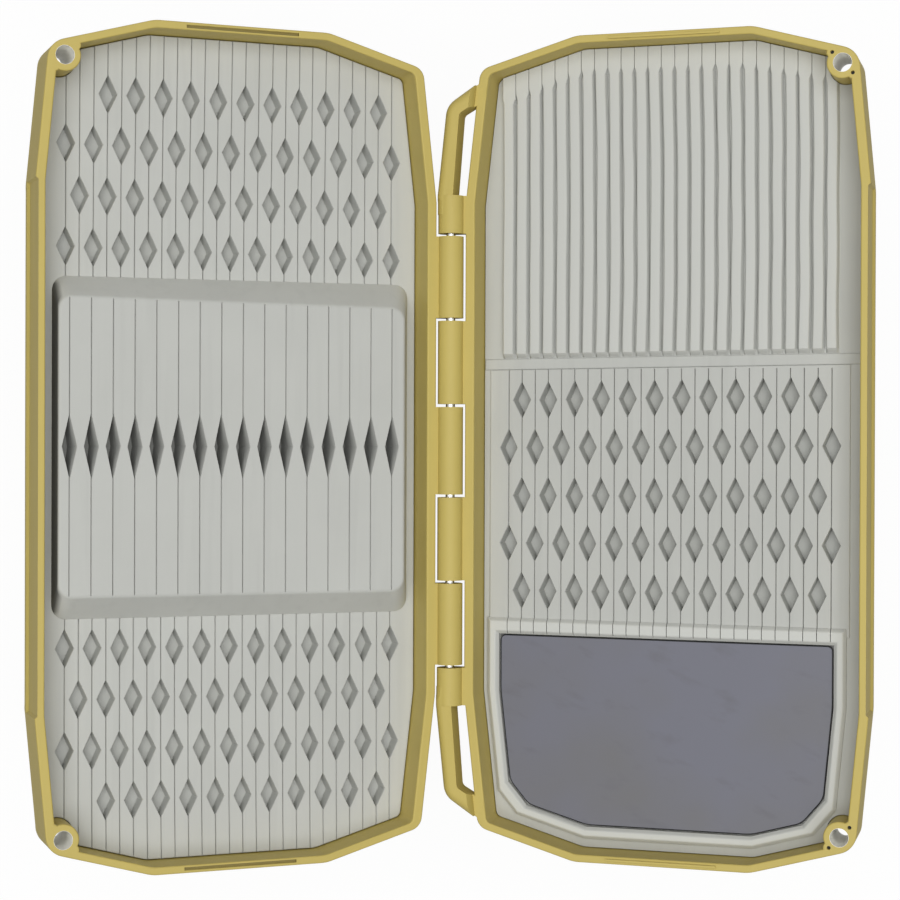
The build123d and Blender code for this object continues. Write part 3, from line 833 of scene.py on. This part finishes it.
def makeRidgedPanel(setup):
    hand = random.Random(setup["seed"])
    lines = ridgeLines(setup)
    shape = bmesh.new()
    bmesh.ops.create_grid(shape, x_segments=len(lines) - 1, y_segments=setup["rows"] - 1, size=1)
    waves = [(hand.uniform(*setup["waveStarts"]), hand.uniform(*setup["wavePaces"]),
              hand.uniform(*setup["waveSizes"])) for number in range(setup["columns"])]
    gridOrder = sorted(shape.verts, key=lambda v: (round(v.co.y, 5), v.co.x))
    for order, vert in enumerate(gridOrder):
        row, column = divmod(order, len(lines))
        number, u, rise, pinched, fills = lines[column]
        centre = columnPlace(setup, number)
        footRise = setup["footFar"] - setup["footNear"]
        foot = setup["footNear"] + footRise * shareAcross(setup, centre)
        v, tall, pinch, filled = ridgeRow(setup, row, foot, ridgeTip(setup["edge"], centre))
        if pinched is not None:
            u += (pinched - u) * pinch
            start, pace, size = waves[number]
            u += math.sin(start + v * pace) * setup["wave"] * size * (1 - pinch)
        if fills:
            rise = max(rise, filled)
        u += swelling(setup["bow"], u, v)
        vert.co = (u, v, setup["margin"] + rise * tall * setup["height"])
    outline = leanedCopy("ridged_foam_panel")
    floor = min(vert.co.z for vert in outline.verts)
    lowered = bmesh.ops.extrude_face_region(shape, geom=shape.faces[:])["geom"]
    for vert in [item for item in lowered if isinstance(item, bmesh.types.BMVert)]:
        vert.co.z = floor - setup["skirt"]
    bmesh.ops.recalc_face_normals(shape, faces=shape.faces)
    soles = [face for face in outline.faces
             if all(abs(vert.co.z - floor) < soleGap for vert in face.verts)]
    bmesh.ops.delete(outline, geom=[f for f in outline.faces if f not in soles], context="FACES")
    raised = bmesh.ops.extrude_face_region(outline, geom=outline.faces[:])["geom"]
    bmesh.ops.translate(outline, vec=(0, 0, setup["cutHeight"]),
                        verts=[item for item in raised if isinstance(item, bmesh.types.BMVert)])
    bmesh.ops.recalc_face_normals(outline, faces=outline.faces)
    shape = carve(shape, outline, "INTERSECT")
    piece = finishPiece("ridgedPanel", shape, "base", "ridged_foam_panel", "foam_grey",
                        foamFinishes["ridges"])


makeRidgedPanel(ridges)

# divider strip
divider = {"top": -8.35, "edgeRounding": 0.35, "edgeSteps": 3}


def makeDivider(setup):
    shape = leanedCopy("foam_divider_strip")
    roundEdges(shape, edgesAt(shape, setup["top"]), setup["edgeRounding"], setup["edgeSteps"])
    piece = finishPiece("dividerStrip", shape, "base", "foam_divider_strip", "foam_grey")


makeDivider(divider)

# magnet sheet
sheetSetup = {
    "cornerRounding": 1.2, "cornerSteps": 4, "edgeRounding": 0.28, "edgeSteps": 2,
    "uprightOver": 0.3,
}


def makeMagnetSheet(setup):
    shape = nodeCopy("magnet_sheet", "base")
    uprights = [edge for edge in shape.edges
                if abs(edge.verts[0].co.z - edge.verts[1].co.z) > setup["uprightOver"]]
    roundEdges(shape, uprights, setup["cornerRounding"], setup["cornerSteps"])
    top = max(vert.co.z for vert in shape.verts)
    roundEdges(shape, edgesAt(shape, top), setup["edgeRounding"], setup["edgeSteps"])
    for face in shape.faces:
        if min(vert.co.z for vert in face.verts) < top - soleGap:
            face.material_index = 1           # black rubber shows round the grey face
    piece = finishPiece("magnetSheet", shape, "base", "magnet_sheet", "magnet_sheet_grey")
    piece.data.materials.append(blackRubber)


makeMagnetSheet(sheetSetup)
print("pieces made")


# studio
studio = {
    "worldLight": 0.17, "lampPower": 11.2, "lampSize": 1.1, "lampPlace": (-0.03, 0.0, 1.0),
    "floorShare": 0.1, "floorHalf": 3, "floorWhite": 1.05,
    "floorColour": (0.55, 0.55, 0.55), "floorRoughness": 0.9, "floorSpecular": 0.1,
    "floorLevel": -0.046,          # clear of the lid when it is folded right back
}


def makeWorld(setup):
    world = bpy.data.worlds.new("studio")
    bpy.context.scene.world = world
    world.use_nodes = True
    tree = world.node_tree
    back = tree.nodes["Background"]
    back.inputs["Color"].default_value = (1, 1, 1, 1)
    rays = addNode(tree, "ShaderNodeLightPath")
    seen = addNode(tree, "ShaderNodeMath", operation="MAXIMUM")
    clear = addNode(tree, "ShaderNodeMath", operation="MAXIMUM")
    strength = addNode(tree, "ShaderNodeMapRange", {"To Min": setup["worldLight"], "To Max": 1.0})
    tree.links.new(rays.outputs["Is Camera Ray"], seen.inputs[0])
    tree.links.new(rays.outputs["Is Glossy Ray"], seen.inputs[1])
    tree.links.new(seen.outputs[0], clear.inputs[0])
    tree.links.new(rays.outputs["Is Transmission Ray"], clear.inputs[1])
    tree.links.new(clear.outputs[0], strength.inputs["Value"])
    tree.links.new(strength.outputs["Result"], back.inputs["Strength"])


def addLamp(name, place, size, power):
    data = bpy.data.lights.new(name, "AREA")
    data.size = size
    data.energy = power
    lamp = bpy.data.objects.new(name, data)
    bpy.context.scene.collection.objects.link(lamp)
    lamp.location = place
    lamp.rotation_euler = (hingePoint - Vector(place)).to_track_quat("-Z", "Y").to_euler()


def makeFloor(setup):
    shape = bmesh.new()
    bmesh.ops.create_grid(shape, x_segments=1, y_segments=1, size=setup["floorHalf"])
    bmesh.ops.translate(shape, vec=(0, 0, setup["floorLevel"]), verts=shape.verts)
    floor = asObject("floor", shape)
    material, tree, shader = newMaterial(
        "paleFloor", setup["floorColour"], setup["floorRoughness"], setup["floorSpecular"])
    rays = addNode(tree, "ShaderNodeLightPath")
    shine = addNode(tree, "ShaderNodeEmission",
                    {"Color": (1, 1, 1, 1), "Strength": setup["floorWhite"]})
    share = addNode(tree, "ShaderNodeMath", {1: 1 - setup["floorShare"]}, operation="MULTIPLY")
    mix = addNode(tree, "ShaderNodeMixShader")
    below = addNode(tree, "ShaderNodeMixShader")
    clear = addNode(tree, "ShaderNodeBsdfTransparent")
    side = addNode(tree, "ShaderNodeNewGeometry")
    leave = tree.nodes["Material Output"]
    tree.links.new(rays.outputs["Is Camera Ray"], share.inputs[0])
    tree.links.new(share.outputs[0], mix.inputs["Fac"])
    tree.links.new(shader.outputs[0], mix.inputs[1])
    tree.links.new(shine.outputs[0], mix.inputs[2])
    tree.links.new(side.outputs["Backfacing"], below.inputs["Fac"])
    tree.links.new(mix.outputs[0], below.inputs[1])
    tree.links.new(clear.outputs[0], below.inputs[2])
    tree.links.new(below.outputs[0], leave.inputs["Surface"])
    floor.data.materials.append(material)


makeWorld(studio)
addLamp("topLamp", studio["lampPlace"], studio["lampSize"], studio["lampPower"])
makeFloor(studio)
bpy.context.scene.view_settings.view_transform = "Standard"
print("studio set")
